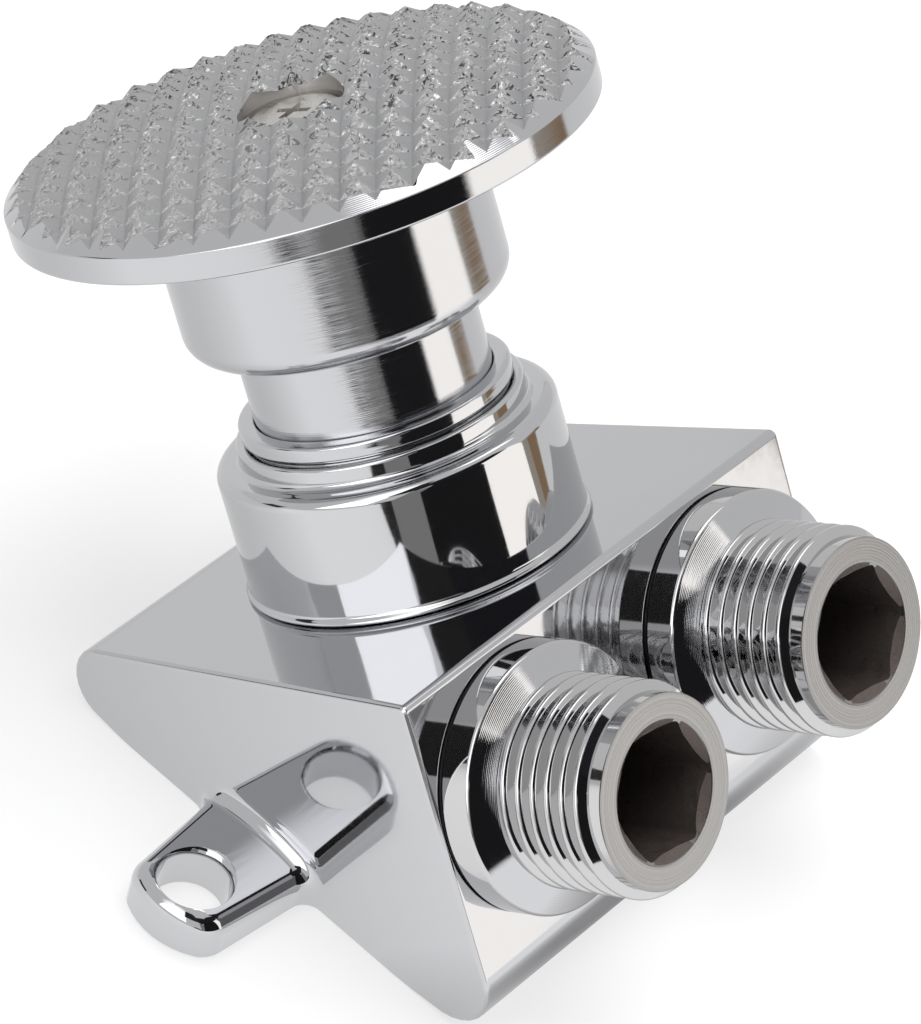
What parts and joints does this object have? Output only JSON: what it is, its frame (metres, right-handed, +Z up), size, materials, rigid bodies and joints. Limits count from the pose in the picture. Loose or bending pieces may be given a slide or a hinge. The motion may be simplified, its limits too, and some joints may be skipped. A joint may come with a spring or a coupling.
{
  "type": "foot pedal tap valve",
  "caption": "Foot-operated self-closing tap valve: wedge body with floor screw ears, round toothed pedal on a sprung stem, and threaded inlet and outlet ports at the back.",
  "frame": {"origin": "on the floor plane, midway between the two floor screw holes", "axes": "+Z up from the floor, X along the wedge through both screw holes, +Y towards the ports at the back; the pedal leans towards -Y"},
  "size_m": [0.0874, 0.0968, 0.0747],
  "materials": {
    "polished_chrome": "mirror-polished chrome plate on brass",
    "turned_chrome": "chrome plate over fine turning lines",
    "nipple_chrome": "chrome plate on threads, turned end face",
    "pedal_chrome": "matte silver chrome over machined teeth",
    "nickel": "nickel-plated steel",
    "spring_steel": "drawn stainless wire",
    "brass": "turned brass",
    "fibre": "matte fibre gasket",
    "black_rubber": "matte black rubber"
  },
  "bodies": {
    "housing": {"valve_body": "polished_chrome", "bonnet_cap": "polished_chrome", "bonnet_gasket": "fibre", "gland_nut": "turned_chrome", "wiper_ring": "black_rubber", "packing_washer": "brass", "stem_packing": "black_rubber", "return_spring": "spring_steel", "seat_ring": "brass", "seat_o_ring": "black_rubber", "inlet_nipple": "nipple_chrome", "outlet_nipple": "nipple_chrome", "inlet_gasket": "black_rubber", "outlet_gasket": "black_rubber"},
    "spring_carrier": {"thrust_washer": "brass"},
    "pedal_stem": {"stem": "turned_chrome", "poppet": "brass", "poppet_washer": "black_rubber", "poppet_nut": "brass", "pedal": "pedal_chrome", "pedal_screw": "nickel", "pedal_lock_washer": "nickel"}
  },
  "joints": [
    {"name": "pedal_press", "type": "slide", "parent": "housing", "child": "spring_carrier", "axis": [0, 0.565, -0.8251], "range_m": [0, 0.0055], "stiffness_N_per_m": 6000, "springref_m": -0.006, "deforming": ["return_spring"]},
    {"name": "pedal_spin", "type": "hinge", "parent": "spring_carrier", "child": "pedal_stem", "pos_m": [0, -0.00725, 0.0202], "axis": [0, -0.565, 0.8251], "continuous": true}
  ]
}
